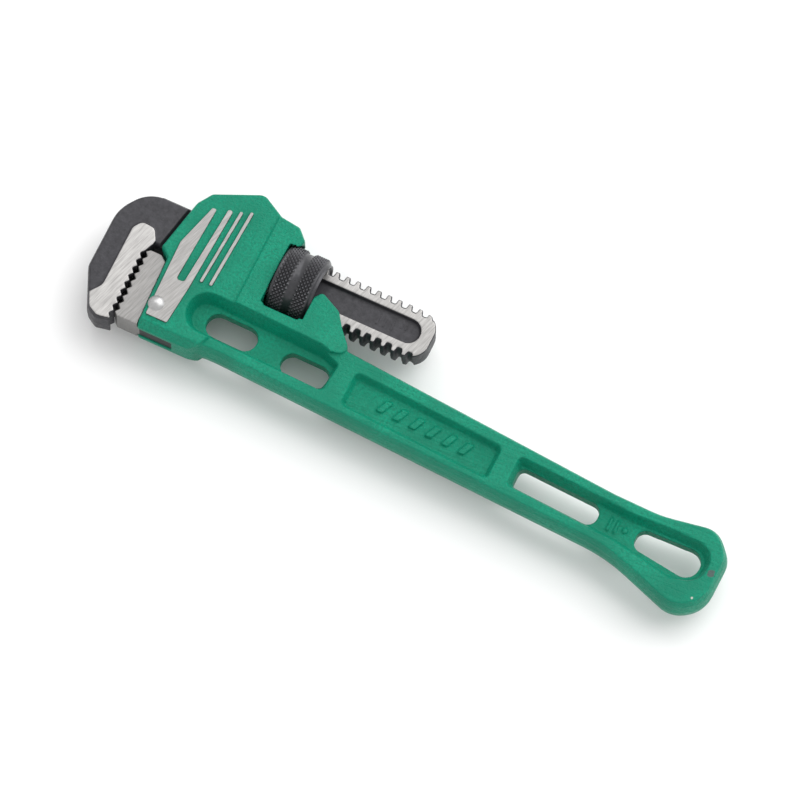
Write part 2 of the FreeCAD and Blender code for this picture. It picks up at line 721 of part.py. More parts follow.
# ---------------------------------------------------------------- adjusting nut
def adjusting_nut():
    """Ring nut: two bands for the knurl, a collar, and a ridge that runs in the grooves."""
    fit = size("nut_fit")
    radius, bore = size("nut_radius"), CREST_R + fit
    collar, bevel, dip, lead = 1.1, 0.8, 0.45, 0.5
    profile = [
        (NUT_X0, bore + lead), (NUT_X0, radius - bevel), (NUT_X0 + bevel, radius),
        (NUT_X0 + 5.7, radius), (NUT_X0 + 6.0, radius - dip), (NUT_X0 + 8.6, radius - dip),
        (NUT_X0 + 8.9, radius), (NUT_X1 - collar - bevel, radius),
        (NUT_X1 - collar, radius - bevel), (NUT_X1 - collar, radius - 1.3),
        (NUT_X1, radius - 1.6), (NUT_X1, bore + lead), (NUT_X1 - lead, bore),
        (NUT_X0 + lead, bore),
    ]
    points = [V(x, r, 0) for x, r in profile]
    ring = Part.Face(Part.makePolygon(points + points[:1])).revolve(V(0, 0, 0), X_AXIS, 360)
    root = size("thread_root") / 2 - fit
    sink = 0.4
    ridge = [(-root, ROOT_R + fit), (root, ROOT_R + fit),
             (root + FLANK_SLOPE * (size("thread_depth") + sink), bore + sink),
             (-root - FLANK_SLOPE * (size("thread_depth") + sink), bore + sink)]
    span = 120
    first = size("thread_start")
    while first + PITCH < NUT_X0 + 1.5:
        first += PITCH
    arcs, x, angle = [], first, 0
    while x < NUT_X1 - 1.5:
        arcs.append(thread_arc(ridge, PITCH, CREST_R, x, angle, span - 3))
        x += PITCH * span / 360
        angle += span
    ends = Part.makeCylinder(radius, size("nut_length"), V(NUT_X0, 0, 0), X_AXIS)
    arcs = [arc.common(ends) for arc in arcs]
    return place_on_shank(ring.fuse(arcs).removeSplitter())


# ---------------------------------------------------------------- springs
def flat_spring():
    """Leaf that lies along the shank's crests, its ends turned up a little."""
    body = new_body("flat_spring")
    low = "shank_offset + thread_radius + seat_fit"
    left, right = "coil_place - leaf_length / 2", "coil_place + leaf_length / 2"
    top = low + " + leaf_thick"
    corners = [(left, low + " + 0.4"), (left + " + 3", low), (right + " - 3", low),
               (right, low + " + 0.4"), (right, top + " + 0.4"), (right + " - 3", top),
               (left + " + 3", top), (left, top + " + 0.4")]
    pad(body, sketch_on(body, "leaf_edge", corners), "leaf_width")
    through_hole(body, sketch_circle(body, "leaf_hole", "rivet_radius", "XZ_Plane", "coil_place"))
    return body


def coil_spring():
    """Compression spring between the housing's roof and the leaf."""
    turns = size("coil_turns")
    helix = Part.makeLongHelix(size("coil_height") / turns, size("coil_height"),
                               size("coil_radius"))
    wire = Part.Wire([Part.Circle(V(size("coil_radius"), 0, 0), Y_AXIS,
                                  size("coil_wire") / 2).toShape()])
    spring = Part.Wire(helix.Edges).makePipeShell([wire], True, True)
    spring.Placement = FreeCAD.Placement(V(size("coil_place"), COIL_Y0, 0),
                                         FreeCAD.Rotation(X_AXIS, -90))
    return spring


def spring_rivet():
    """Small rivet whose head grips the coil's last turn on the leaf."""
    shank_part = doc.addObject("Part::Cylinder", "rivet_shank")
    bind(shank_part, Radius="rivet_radius", Height="leaf_thick")
    head = doc.addObject("Part::Cylinder", "rivet_head")
    bind(head, Radius="coil_radius - coil_wire / 2 - seat_fit", Height="1.0")
    low = "shank_offset + thread_radius + seat_fit"
    for piece, y in ((shank_part, low), (head, low + " + leaf_thick")):
        piece.Placement.Rotation = FreeCAD.Rotation(X_AXIS, -90)
        bind(piece, Placement__Base__x="coil_place", Placement__Base__y=y)
    rivet = doc.addObject("Part::MultiFuse", "spring_rivet")
    rivet.Label = "spring_rivet"
    rivet.Shapes = [shank_part, head]
    return rivet


# ---------------------------------------------------------------- the wrench
sub_parts = [
    add_shape("handle", handle()),
    add_shape("hook_jaw", hook_jaw()),
    add_shape("adjusting_nut", adjusting_nut()),
    heel_jaw(),
    heel_jaw_pin(),
    flat_spring(),
    add_shape("coil_spring", coil_spring()),
    spring_rivet(),
]
doc.recompute()

for item in doc.Objects:
    if "Invalid" in item.State or "Error" in item.State:
        raise RuntimeError("%s failed: %s" % (item.Name, item.State))
for part in sub_parts:
    if part.Shape.isNull() or not part.Shape.isValid():
        raise RuntimeError("%s has no valid shape" % part.Label)

everything = FreeCAD.BoundBox()
for part in sub_parts:
    everything.add(part.Shape.optimalBoundingBox())
middle = V(everything.Center.x, everything.Center.y, everything.ZMin)
for part in sub_parts:
    part.Placement = FreeCAD.Placement(-middle, FreeCAD.Rotation()) * part.Placement
doc.recompute()

os.makedirs("parts", exist_ok=True)
for part in sub_parts:
    part.Shape.exportStep("parts/%s.step" % part.Label)
    print("%-14s volume %9.2f  solids %d" % (part.Label, part.Shape.Volume,
                                             len(part.Shape.Solids)))
print("design origin in the row frame", -middle)
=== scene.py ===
"""Pipe wrench: the looks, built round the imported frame.

Every finish and every shape that the frame leaves plain is made by an operator; main()
runs them in order. Metres, in the frame's own axes: +X along the shank towards the
handle's end, +Y to the shank's side, +Z up out of the face that is seen.
"""
import math

import bmesh
import bpy
from mathutils import Matrix, Vector


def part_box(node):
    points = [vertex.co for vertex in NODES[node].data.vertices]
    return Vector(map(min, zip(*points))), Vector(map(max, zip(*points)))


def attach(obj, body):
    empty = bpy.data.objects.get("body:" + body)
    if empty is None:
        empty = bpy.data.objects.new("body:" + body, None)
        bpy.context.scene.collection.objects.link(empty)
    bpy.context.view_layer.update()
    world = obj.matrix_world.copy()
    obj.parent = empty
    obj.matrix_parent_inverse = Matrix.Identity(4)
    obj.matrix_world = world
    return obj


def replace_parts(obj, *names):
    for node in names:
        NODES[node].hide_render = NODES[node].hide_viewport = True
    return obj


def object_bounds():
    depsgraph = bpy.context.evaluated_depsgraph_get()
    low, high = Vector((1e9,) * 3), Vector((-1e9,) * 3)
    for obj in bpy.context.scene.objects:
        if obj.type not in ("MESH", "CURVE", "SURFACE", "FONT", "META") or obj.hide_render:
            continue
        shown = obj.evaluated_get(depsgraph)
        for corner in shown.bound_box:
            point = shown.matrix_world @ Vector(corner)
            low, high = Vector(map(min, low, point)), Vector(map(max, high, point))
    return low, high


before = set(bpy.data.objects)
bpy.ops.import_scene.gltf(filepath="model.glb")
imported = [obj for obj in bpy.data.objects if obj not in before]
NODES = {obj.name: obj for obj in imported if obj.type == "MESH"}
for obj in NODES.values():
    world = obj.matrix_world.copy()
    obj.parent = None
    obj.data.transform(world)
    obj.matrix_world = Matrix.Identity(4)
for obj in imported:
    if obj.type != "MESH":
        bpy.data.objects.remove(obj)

bl_info = {
    "name": "Pipe wrench",
    "version": (1, 0, 0),
    "blender": (4, 5, 0),
    "location": "3D View > Sidebar > Wrench",
    "description": "Builds the finished surfaces of an adjustable pipe wrench on its frame",
    "category": "Object",
}

MM = 0.001
CAD_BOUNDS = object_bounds()


def middle_of(node):
    """Centre of a frame node's box."""
    low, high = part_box(node)
    return (low + high) / 2


PIN = middle_of("heel_jaw_pin")          # heel jaw's pin: the design's own origin
MID_Z = PIN.z                            # parting plane of the casting
NUT_LOW, NUT_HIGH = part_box("adjusting_nut")
NUT_AXIS = middle_of("adjusting_nut")
NUT_RADIUS = (NUT_HIGH.z - NUT_LOW.z) / 2
DOME = 1.4 * MM                          # the pin's dome stands on the panel's bars
BAR_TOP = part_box("heel_jaw_pin")[1].z - DOME - MID_Z
PANEL_HALF = BAR_TOP - 0.7 * MM
HEAD_HALF = (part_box("hook_jaw")[1].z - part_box("hook_jaw")[0].z) / 2

# places along the wrench, from the pin
SEAT_FRONT = -2.4 * MM                   # the housing's face behind the heel jaw's head
BARS_END = 19 * MM                       # past the longest bar of the panel
SHANK_START = 20 * MM                    # the shank's ground flats begin
RAILS_START, RAILS_FULL = 60 * MM, 75 * MM    # file marks fade in along the rails
SHANK_AXIS = 30.2                        # pin to the shank's axis, mm across the wrench
CHIP_HEIGHT = 6.25                       # top of the rails over the mid-plane, mm
WORN_PATCHES = ((215.4, -6.8, 1.3), (183.5, 5.6, 0.4))    # x, y, radius, mm from the pin
BARE_CHIPS = ((213.2, -17.4, 0.25),)

# the row of ticks in the shank's recess, mm: x from the pin and length
SHANK_MARKS = ((71.0, 3.6), (73.6, 3.6), (76.6, 3.6), (79.6, 1.5), (81.2, 1.5))
MARK_TOP_LINE = 3.6                      # all ticks start at the longest one's upper end
MARK_WIDTH, MARK_DEPTH = 0.7, 0.4
MARK_LEVEL = 2.45                        # mid-plane to the middle of a tick

# which way the grinding marks run
BARS_TURN, JAWS_TURN = math.radians(-25), math.radians(-20)

# the nut, from its front face
GROOVE = (5.9 * MM, 8.7 * MM)            # plain groove between the knurled bands
KNURL_BANDS = (("knurl_front", 1.35 * MM), ("knurl_back", 9.35 * MM))
KNURL_ROWS, ROW_STEP = 6, 0.8 * MM
GROOVE_EXTRA = 0.35 * MM                 # groove's floor below the knurl's roots

# the camera, above the handle's side: degrees, metres from the target, target from the pin
VIEW_AZIMUTH, VIEW_ELEVATION, VIEW_ROLL = 25.05, 68.78, 0.5
VIEW_DISTANCE, VIEW_LENS = 3.458, 450.0
VIEW_TARGET = Vector((91.85, 4.0, 8.9)) * MM


# ------------------------------------------------------------------ node helpers
class Tree:
    """A material's node tree with short calls for what the finishes share."""

    def __init__(self, name):
        self.material = bpy.data.materials.new(name)
        self.material.use_nodes = True
        self.nodes = self.material.node_tree.nodes
        self.links = self.material.node_tree.links
        self.shader = self.nodes["Principled BSDF"]
        self.coords = self.add("ShaderNodeTexCoord").outputs["Object"]

    def add(self, kind, **settings):
        """A node; settings are its own properties."""
        node = self.nodes.new(kind)
        for name, value in settings.items():
            setattr(node, name, value)
        return node

    def feed(self, socket, value):
        """Link or set one input."""
        if isinstance(value, bpy.types.NodeSocket):
            self.links.new(value, socket)
        else:
            socket.default_value = value

    def math(self, operation, *values):
        """Maths on numbers or sockets."""
        node = self.add("ShaderNodeMath", operation=operation)
        for socket, value in zip(node.inputs, values):
            self.feed(socket, value)
        return node.outputs[0]

    def noise(self, scale, detail=4.0, stretch=(1, 1, 1), turn=0.0, rough=0.5):
        """Noise on object coordinates; scale is per metre, stretch and turn shape it."""
        mapping = self.add("ShaderNodeMapping", vector_type="TEXTURE")
        self.feed(mapping.inputs["Vector"], self.coords)
        mapping.inputs["Rotation"].default_value = (0, 0, turn)
        mapping.inputs["Scale"].default_value = [1 / part for part in stretch]
        node = self.add("ShaderNodeTexNoise")
        self.feed(node.inputs["Vector"], mapping.outputs[0])
        node.inputs["Scale"].default_value = scale
        node.inputs["Detail"].default_value = detail
        node.inputs["Roughness"].default_value = rough
        return node.outputs["Fac"]

    def ramp(self, value, low, high, out_low=0.0, out_high=1.0):
        """A clamped linear map of a number."""
        node = self.add("ShaderNodeMapRange", clamp=True)
        for name, part in (("Value", value), ("From Min", low), ("From Max", high),
                           ("To Min", out_low), ("To Max", out_high)):
            self.feed(node.inputs[name], part)
        return node.outputs[0]

    def mix(self, factor, first, second):
        """A mix of two colours."""
        node = self.add("ShaderNodeMix", data_type="RGBA")
        self.feed(node.inputs["Factor"], factor)
        for socket, colour in ((node.inputs[6], first), (node.inputs[7], second)):
            self.feed(socket, colour if isinstance(colour, bpy.types.NodeSocket)
                      else (*colour, 1.0))
        return node.outputs[2]

    def blend(self, factor, first, second):
        """A mix of two numbers."""
        node = self.add("ShaderNodeMix", data_type="FLOAT")
        for socket, value in zip(node.inputs[:1] + node.inputs[2:4], (factor, first, second)):
            self.feed(socket, value)
        return node.outputs[0]

    def bump(self, *layers):
        """Stacked bump layers: (height socket, depth in metres)."""
        normal = None
        for height, depth in layers:
            node = self.add("ShaderNodeBump")
            node.inputs["Strength"].default_value = 1.0
            node.inputs["Distance"].default_value = depth
            self.feed(node.inputs["Height"], height)
            if normal is not None:
                self.feed(node.inputs["Normal"], normal)
            normal = node.outputs[0]
        self.feed(self.shader.inputs["Normal"], normal)

    def away_from_middle(self):
        """Distance from the wrench's mid-plane, in metres."""
        parts = self.add("ShaderNodeSeparateXYZ")
        self.feed(parts.inputs[0], self.coords)
        return self.math("ABSOLUTE", self.math("SUBTRACT", parts.outputs[2], MID_Z))

    def along(self, axis):
        """One object coordinate."""
        parts = self.add("ShaderNodeSeparateXYZ")
        self.feed(parts.inputs[0], self.coords)
        return parts.outputs[axis]

    def set(self, **inputs):
        """Set or link inputs of the shader by name, with _ for a space."""
        for name, value in inputs.items():
            self.feed(self.shader.inputs[name.replace("_", " ")], value)


# ------------------------------------------------------------------ finishes
def paint_finish(look):
    """Semi-gloss enamel over the casting's grain, with painted shade on the walls round the raised
    bars.
    """
    tree = Tree("green_enamel")
    fine = tree.noise(2600, 3)
    grain = tree.noise(1150, 4, rough=0.7)
    broad = tree.noise(60, 2)
    file_marks = tree.noise(800, 4, stretch=(0.03, 1, 1), turn=0.06, rough=0.65)
    on_rails = tree.ramp(tree.along(0), PIN.x + RAILS_START, PIN.x + RAILS_FULL)
    lines = tree.math("MULTIPLY", file_marks, on_rails)
    base = tuple(look.paint)
    deep = tuple(part * 0.7 for part in base)
    green = tree.mix(tree.ramp(broad, 0.35, 0.7), base, deep)
    green = tree.mix(tree.ramp(grain, 0.42, 0.62), green, deep)
    away = tree.away_from_middle()
    # painted shade: a ragged near-black band on the walls round the raised bars of the panel
    on_bar = tree.math("MULTIPLY", tree.ramp(away, PANEL_HALF + 0.2 * MM, PANEL_HALF + 0.4 * MM),
                       tree.math("LESS_THAN", tree.along(0), PIN.x + BARS_END))
    lump = tree.noise(330, 4, rough=0.7)
    bar_wall_shade = tree.math("MULTIPLY", on_bar, tree.ramp(lump, 0.38, 0.5))
    skin = tree.mix(bar_wall_shade, green, (0.035, 0.03, 0.026))
    skin = tree.mix(chipped(tree, WORN_PATCHES), skin, (0.07, 0.11, 0.1))
    skin = tree.mix(chipped(tree, BARE_CHIPS), skin, (0.55, 0.5, 0.46))
    tree.set(Base_Color=skin,
             Roughness=tree.ramp(grain, 0.3, 0.7, look.paint_roughness - 0.07,
                                 look.paint_roughness + 0.12), Metallic=0.0)
    tree.shader.inputs["Specular IOR Level"].default_value = 0.22
    tree.bump((fine, 0.0001), (grain, 0.00045), (lines, 0.00045))
    return tree.material


def chipped(tree, spots):
    """Mask of small chips in the enamel: (x, y, radius) from the pin, in millimetres."""
    chips = None
    for x, y, reach in spots:
        spot = tree.add("ShaderNodeVectorMath", operation="DISTANCE")
        tree.feed(spot.inputs[0], tree.coords)
        spot.inputs[1].default_value = PIN + Vector((x, y, CHIP_HEIGHT)) * MM
        ragged = tree.math("ADD", spot.outputs["Value"],
                           tree.math("MULTIPLY", tree.noise(700, 3), 0.0022))
        edge = (reach + 1.1) * MM
        chip = tree.ramp(ragged, edge + 0.15 * MM, edge - 0.15 * MM)
        chips = chip if chips is None else tree.math("MAXIMUM", chips, chip)
    return chips


def ground_layers(tree, turn, tone):
    """Colour and height of a surface-ground steel face, scratches along one way."""
    coarse = tree.noise(1500, 4, stretch=(1, 0.07, 1), turn=turn)
    thin = tree.noise(3600, 3, stretch=(1, 0.06, 1), turn=turn + 0.09)
    cloud = tree.noise(160, 4, rough=0.6)
    scratches = tree.math("ADD", tree.math("MULTIPLY", coarse, 0.5),
                          tree.math("MULTIPLY", thin, 0.5))
    light = tuple(tone)
    dark = tuple(part * 0.66 for part in light)
    worn = tree.mix(tree.ramp(scratches, 0.38, 0.62), dark, light)
    colour = tree.mix(tree.ramp(cloud, 0.5, 0.78, 0.0, 0.5), worn,
                      tuple(part * 0.72 for part in light))
    return colour, scratches


def ground_steel_finish(look, name, turn, share, bright_part=None):
    """Surface-ground steel; share of full brightness; outside bright_part, forging scale darkened
    as painted shade.
    """
    tree = Tree(name)
    tone = tuple(part * share for part in look.ground_steel)
    colour, scratches = ground_layers(tree, turn, tone)
    metal = 1.0
    if bright_part is not None:
        mask = bright_part(tree)
        # outside the mask: unground scale, darkened further to near-black as painted shade where
        # the tang sits in the housing
        colour = tree.mix(mask, tuple(part * 0.4 for part in look.scale), colour)
        metal = tree.blend(mask, 0.3, 1.0)
    tree.set(Base_Color=colour, Metallic=metal,
             Roughness=tree.ramp(scratches, 0.3, 0.7, 0.4, 0.55))
    tree.bump((scratches, 0.00003))
    return tree.material


def ahead_of_seat(tree):
    """Mask of the heel jaw's head, in front of the housing; the tang behind it gets painted shade.
    """
    return tree.math("LESS_THAN", tree.along(0), PIN.x + SEAT_FRONT)


def forging_finish(look):
    """Dark forging scale; the lands that were ground flat are bright, those on the shank a little
    darker as painted shade.
    """
    tree = Tree("forged_steel")
    height = tree.away_from_middle()
    on_head = tree.math("GREATER_THAN", height, HEAD_HALF - 0.06 * MM)
    above = tree.math("GREATER_THAN", height, look.shank_half - 0.06 * MM)
    behind = tree.math("GREATER_THAN", tree.along(0), PIN.x + SHANK_START)
    shank = tree.math("MULTIPLY", above, behind)
    land = tree.math("MAXIMUM", on_head, shank)
    colour, scratches = ground_layers(tree, JAWS_TURN, look.ground_steel)
    # painted shade: the shank's ground flats are a slightly darker copy of the head's ground steel
    shank_shaded_lands = tree.mix(shank, colour, tree.mix(0.1, colour, (0.05, 0.05, 0.05)))
    pits = tree.noise(620, 5, rough=0.65)
    scale = tree.mix(tree.ramp(pits, 0.35, 0.7), tuple(look.scale),
                     tuple(part * 0.65 for part in look.scale))
    rough = tree.ramp(pits, 0.3, 0.7, 0.4, 0.58)
    tree.set(Base_Color=tree.mix(land, scale, shank_shaded_lands), Metallic=tree.blend(land, 0.3, 1.0),
             Roughness=tree.blend(land, rough, 0.45))
    relief = tree.math("MULTIPLY", pits, tree.math("SUBTRACT", 1.0, land))
    tree.bump((scratches, 0.00002), (relief, 0.00012))
    return tree.material


def black_oxide_finish(look):
    """Blackened and oiled steel, brighter where the knurl's points wear."""
    tree = Tree("black_oxide")
    parts = tree.add("ShaderNodeSeparateXYZ")
    tree.feed(parts.inputs[0], tree.coords)
    y = tree.math("SUBTRACT", parts.outputs[1], NUT_AXIS.y)
    z = tree.math("SUBTRACT", parts.outputs[2], NUT_AXIS.z)
    radius = tree.math("SQRT", tree.math("ADD", tree.math("MULTIPLY", y, y),
                                         tree.math("MULTIPLY", z, z)))
    worn = tree.ramp(radius, NUT_RADIUS - 0.3 * MM, NUT_RADIUS)
    grain = tree.noise(900, 4)
    base = tuple(look.oxide)
    tone = tree.mix(worn, base, tuple(part * 3.5 for part in base))
    tree.set(Base_Color=tree.mix(tree.ramp(grain, 0.3, 0.75, 0.0, 0.6), tone,
                                 tuple(part * 0.6 for part in base)),
             Metallic=0.5, Roughness=tree.ramp(grain, 0.3, 0.7, 0.26, 0.4))
    tree.bump((grain, 0.00003))
    return tree.material


def bright_finish(name, tone, rough):
    """Smooth steel with faint turning marks."""
    tree = Tree(name)
    marks = tree.noise(1400, 3, stretch=(1, 1, 0.3))
    tree.set(Base_Color=tree.mix(tree.ramp(marks, 0.3, 0.7), tone, tuple(p * 0.85 for p in tone)),
             Metallic=1.0, Roughness=tree.ramp(marks, 0.3, 0.7, rough, rough + 0.08))
    tree.bump((marks, 0.00001))
    return tree.material


def put_finish(node, material):
    """Give a frame node its finish."""
    data = NODES[node].data
    data.materials.clear()
    data.materials.append(material)


# ------------------------------------------------------------------ mesh helpers
def new_piece(name, data, body):
    """Link a finished mesh as a piece that rides on a body."""
    piece = bpy.data.objects.new(name, data)
    bpy.context.scene.collection.objects.link(piece)
    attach(piece, body)
    return piece


def joined_copy(node):
    """A bmesh of a frame node with its loose triangles joined."""
    bm = bmesh.new()
    bm.from_mesh(NODES[node].data)
    bmesh.ops.remove_doubles(bm, verts=bm.verts, dist=1e-6)
    return bm


def baked(piece):
    """The piece's mesh with its modifiers applied."""
    graph = bpy.context.evaluated_depsgraph_get()
    return bpy.data.meshes.new_from_object(piece.evaluated_get(graph))


def shade(data, smooth=True):
    """Smooth or flat shading on every face."""
    data.polygons.foreach_set("use_smooth", [smooth] * len(data.polygons))


def cast_copy(name, bm, voxel, passes, keep):
    """A casting's skin: corners rounded as a mould leaves them."""
    data = bpy.data.meshes.new(name)
    bm.to_mesh(data)
    bm.free()
    work = bpy.data.objects.new(name + "_work", data)
    bpy.context.scene.collection.objects.link(work)
    remesh = work.modifiers.new("Voxels", "REMESH")
    remesh.mode = "VOXEL"
    remesh.voxel_size = voxel
    smooth = work.modifiers.new("Soft corners", "SMOOTH")
    smooth.factor = 0.5
    smooth.iterations = passes
    fewer = work.modifiers.new("Fewer faces", "DECIMATE")
    fewer.ratio = keep
    mesh = baked(work)
    bpy.data.objects.remove(work)
    mesh.name = name
    shade(mesh)
    return mesh


# ------------------------------------------------------------------ properties
class WRENCH_PG_look(bpy.types.PropertyGroup):
    """Colours and sizes that a user would change."""
    paint: bpy.props.FloatVectorProperty(
        name="Enamel", description="Colour of the painted casting", subtype="COLOR",
        size=3, min=0, max=1, default=(0.001, 0.27, 0.16))
    paint_roughness: bpy.props.FloatProperty(
        name="Enamel roughness", description="Gloss of the enamel", default=0.36,
        min=0, max=1, subtype="FACTOR")
    scale: bpy.props.FloatVectorProperty(
        name="Forging scale", description="Colour of the unground forging", subtype="COLOR",
        size=3, min=0, max=1, default=(0.037, 0.036, 0.042))
    ground_steel: bpy.props.FloatVectorProperty(
        name="Ground steel", description="Colour of ground faces", subtype="COLOR",
        size=3, min=0, max=1, default=(0.45, 0.44, 0.43))
    oxide: bpy.props.FloatVectorProperty(
        name="Black oxide", description="Colour of the nut", subtype="COLOR",
        size=3, min=0, max=1, default=(0.055, 0.055, 0.06))
    shank_half: bpy.props.FloatProperty(
        name="Shank half thickness", description="Mid-plane to the shank's flat",
        default=4.2 * MM, unit="LENGTH")
    voxel: bpy.props.FloatProperty(
        name="Casting detail", description="Smallest detail kept on the casting",
        default=0.33 * MM, unit="LENGTH")
    knurl_columns: bpy.props.IntProperty(
        name="Knurl columns", description="Points round the nut", default=46, min=12)
    knurl_depth: bpy.props.FloatProperty(
        name="Knurl depth", description="Height of the knurl's points",
        default=0.62 * MM, unit="LENGTH")


class BuildStep:
    """What every operator of this add-on shares."""
    bl_options = {"REGISTER", "UNDO"}

    def look(self, context):
        """The colours and sizes set in the scene."""
        return context.scene.wrench_look


# ------------------------------------------------------------------ operators
class WRENCH_OT_casting(BuildStep, bpy.types.Operator):
    """Handle and housing: one casting with rounded corners, painted"""
    bl_idname = "wrench.casting"
    bl_label = "Painted casting"

    def execute(self, context):
        look = self.look(context)
        paint = paint_finish(look)
        put_finish("handle", paint)
        skin = cast_copy("casting", joined_copy("handle"), look.voxel, passes=2, keep=0.26)
        skin.materials.append(paint)
        piece = new_piece("casting", skin, "handle_body")
        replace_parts(piece, "handle")
        return {"FINISHED"}


class WRENCH_OT_panel_bars(BuildStep, bpy.types.Operator):
    """Ground steel tops of the raised bars on both housing panels"""
    bl_idname = "wrench.panel_bars"
    bl_label = "Panel bars"

    def execute(self, context):
        look = self.look(context)
        bm = joined_copy("handle")
        others = [f for f in bm.faces
                  if any(abs(abs(v.co.z - MID_Z) - BAR_TOP) > 0.01 * MM for v in f.verts)]
        bmesh.ops.delete(bm, geom=others, context="FACES")
        bmesh.ops.dissolve_limit(bm, angle_limit=math.radians(1), verts=bm.verts,
                                 edges=bm.edges)
        for face in bm.faces:
            up = 1 if face.calc_center_median().z > MID_Z else -1
            if face.normal.z * up < 0:
                face.normal_flip()
        data = bpy.data.meshes.new("panel_bars")
        bm.to_mesh(data)
        bm.free()
        work = bpy.data.objects.new("bars_work", data)
        context.scene.collection.objects.link(work)
        plate = work.modifiers.new("Thickness", "SOLIDIFY")
        plate.thickness = 0.6 * MM
        plate.offset = -0.86
        edge = work.modifiers.new("Edges", "BEVEL")
        edge.width = 0.07 * MM
        edge.segments = 2
        edge.limit_method = "ANGLE"
        mesh = baked(work)
        bpy.data.objects.remove(work)
        mesh.name = "panel_bars"
        mesh.materials.clear()
        mesh.materials.append(ground_steel_finish(look, "ground_bars", BARS_TURN, share=0.85))
        new_piece("panel_bars", mesh, "handle_body")
        return {"FINISHED"}


class WRENCH_OT_hook_jaw(BuildStep, bpy.types.Operator):
    """Hook jaw: forging scale with ground lands, and a row of marks in its shank"""
    bl_idname = "wrench.hook_jaw"
    bl_label = "Hook jaw"

    def execute(self, context):
        forged = forging_finish(self.look(context))
        put_finish("hook_jaw", forged)
        skin = cast_copy("hook", joined_copy("hook_jaw"), 0.27 * MM, passes=2, keep=0.28)
        skin.materials.append(forged)
        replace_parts(new_piece("hook", skin, "hook"), "hook_jaw")
        bm = bmesh.new()
        for start, long in SHANK_MARKS:
            for side in (-1, 1):
                bar = bmesh.ops.create_cube(bm, size=1)["verts"]
                bmesh.ops.scale(bm, vec=Vector((MARK_WIDTH, long, MARK_DEPTH)) * MM, verts=bar)
                across = SHANK_AXIS + (MARK_TOP_LINE - long) / 2
                place = PIN + Vector((start, across, side * MARK_LEVEL)) * MM
                bmesh.ops.translate(bm, vec=place, verts=bar)
        data = bpy.data.meshes.new("shank_marks")
        bm.to_mesh(data)
        bm.free()
        data.materials.append(forged)
        new_piece("shank_marks", data, "hook")
        return {"FINISHED"}


class WRENCH_OT_nut(BuildStep, bpy.types.Operator):
    """Adjusting nut with two knurled bands"""
    bl_idname = "wrench.nut"
    bl_label = "Adjusting nut"

    def execute(self, context):
        look = self.look(context)
        oxide = black_oxide_finish(look)
        put_finish("adjusting_nut", oxide)
        bm = joined_copy("adjusting_nut")
        depth = look.knurl_depth
        for vert in bm.verts:
            across = Vector((0, vert.co.y - NUT_AXIS.y, vert.co.z - NUT_AXIS.z))
            drop = NUT_RADIUS - across.length
            in_groove = (GROOVE[0] < vert.co.x - NUT_LOW.x < GROOVE[1]
                         and drop < depth + 0.2 * MM)
            if drop < 0.1 * MM or in_groove:
                extra = GROOVE_EXTRA if in_groove else 0.0
                radius = NUT_RADIUS - depth - extra
                vert.co = Vector((vert.co.x, NUT_AXIS.y, NUT_AXIS.z)) + across.normalized() * radius
        data = bpy.data.meshes.new("nut")
        bm.to_mesh(data)
        bm.free()
        data.materials.append(oxide)
        shade(data)
        data.set_sharp_from_angle(angle=math.radians(28))
        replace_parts(new_piece("nut", data, "nut"), "adjusting_nut")
        tree = knurl_tree(oxide)
        for name, start in KNURL_BANDS:
            carrier = bpy.data.objects.new(name + "_work", bpy.data.meshes.new(name))
            context.scene.collection.objects.link(carrier)
            points = carrier.modifiers.new("Knurl", "NODES")
            points.node_group = tree
            values = {"Columns": look.knurl_columns, "Rows": KNURL_ROWS, "Radius": NUT_RADIUS,
                      "Depth": depth, "Start": NUT_LOW.x + start, "Row Step": ROW_STEP,
                      "Axis Y": NUT_AXIS.y, "Axis Z": NUT_AXIS.z}
            for item in tree.interface.items_tree:
                if item.in_out == "INPUT" and item.name in values:
                    points[item.identifier] = values[item.name]
            mesh = baked(carrier)
            bpy.data.objects.remove(carrier)
            mesh.name = name
            shade(mesh, False)
            new_piece(name, mesh, "nut")
        return {"FINISHED"}


